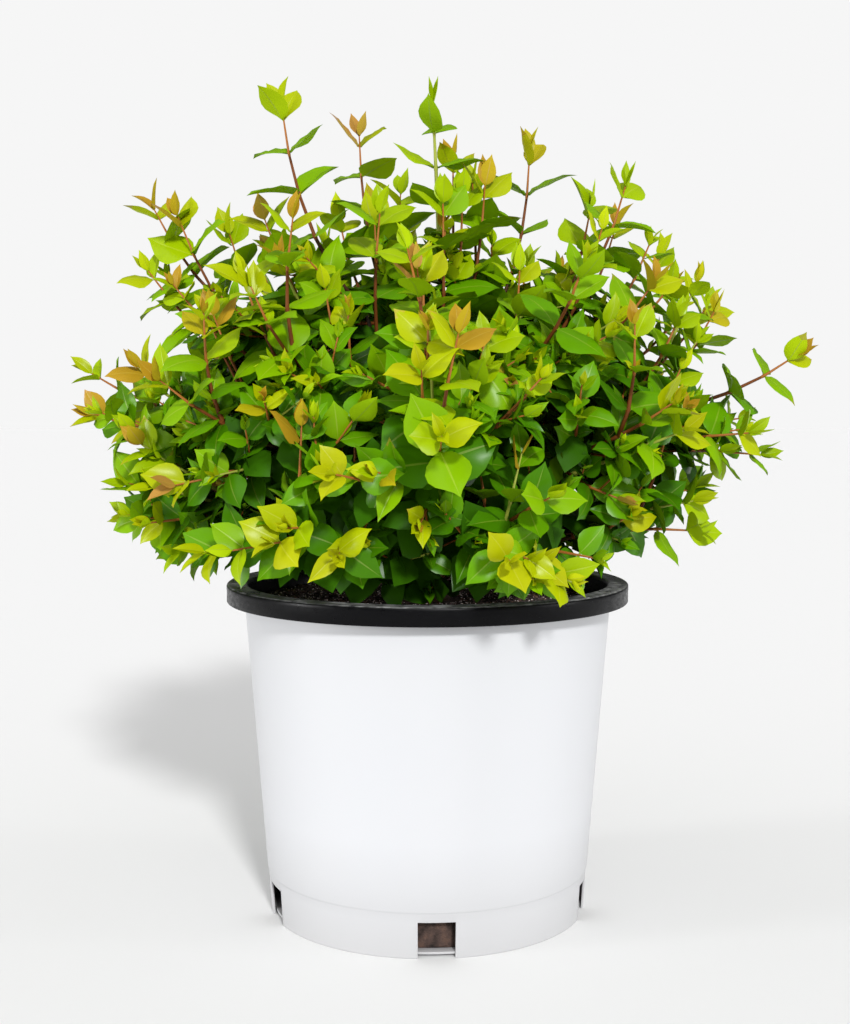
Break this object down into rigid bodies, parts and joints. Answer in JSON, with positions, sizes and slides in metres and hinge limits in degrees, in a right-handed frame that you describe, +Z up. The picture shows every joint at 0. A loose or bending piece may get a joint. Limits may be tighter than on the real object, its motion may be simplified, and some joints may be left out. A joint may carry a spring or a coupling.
{
  "type": "potted abelia shrub",
  "caption": "Rounded shrub of thin arching stems with broad leaves in opposite pairs, grown from a short woody base in a tapered white nursery pot with a dark rim and drain notches.",
  "frame": {"origin": "centre of the pot's flat underside, on the ground", "axes": "+Z up along the pot's axis, -Y towards the front that the picture shows, +X to its right"},
  "size_m": [0.5053, 0.4549, 0.577],
  "materials": {
    "pot": "smooth white moulded plastic with a soft sheen",
    "rim": "black moulded plastic, scuffed paler on its flat top",
    "soil": "dark damp bark and peat potting mix with pale specks",
    "bark": "thin red-brown bark",
    "leaves": "glossy leaves, dark green inside to lime, yellow and orange at the tips"
  },
  "bodies": {
    "root": {"pot": "pot", "rim": "rim", "soil": "soil", "trunk": "bark", "bough_top_centre": "bark", "bough_top_left": "bark", "bough_top_right": "bark", "bough_top_back": "bark", "bough_upper_left": "bark", "bough_upper_right": "bark", "bough_upper_front_left": "bark", "bough_upper_front": "bark", "bough_upper_front_right": "bark", "bough_upper_back_right": "bark", "bough_upper_back": "bark", "bough_upper_back_left": "bark", "bough_middle_right": "bark", "bough_middle_left": "bark", "bough_middle_front_left": "bark", "bough_middle_front": "bark", "bough_middle_front_right": "bark", "bough_middle_back_right": "bark", "bough_middle_back": "bark", "bough_lower_left": "bark", "bough_lower_front_left": "bark", "bough_lower_front_right": "bark", "bough_lower_right": "bark", "bough_lower_back_right": "bark", "bough_lower_back": "bark", "bough_lower_back_left": "bark", "foliage_top_centre": "leaves", "foliage_top_left": "leaves", "foliage_top_right": "leaves", "foliage_top_back": "leaves", "foliage_upper_left": "leaves", "foliage_upper_right": "leaves", "foliage_upper_front_left": "leaves", "foliage_upper_front": "leaves", "foliage_upper_front_right": "leaves", "foliage_upper_back_right": "leaves", "foliage_upper_back": "leaves", "foliage_upper_back_left": "leaves", "foliage_middle_right": "leaves", "foliage_middle_left": "leaves", "foliage_middle_front_left": "leaves", "foliage_middle_front": "leaves", "foliage_middle_front_right": "leaves", "foliage_middle_back_right": "leaves", "foliage_middle_back": "leaves", "foliage_lower_left": "leaves", "foliage_lower_front_left": "leaves", "foliage_lower_front_right": "leaves", "foliage_lower_right": "leaves", "foliage_lower_back_right": "leaves", "foliage_lower_back": "leaves", "foliage_lower_back_left": "leaves"}
  },
  "joints": []
}
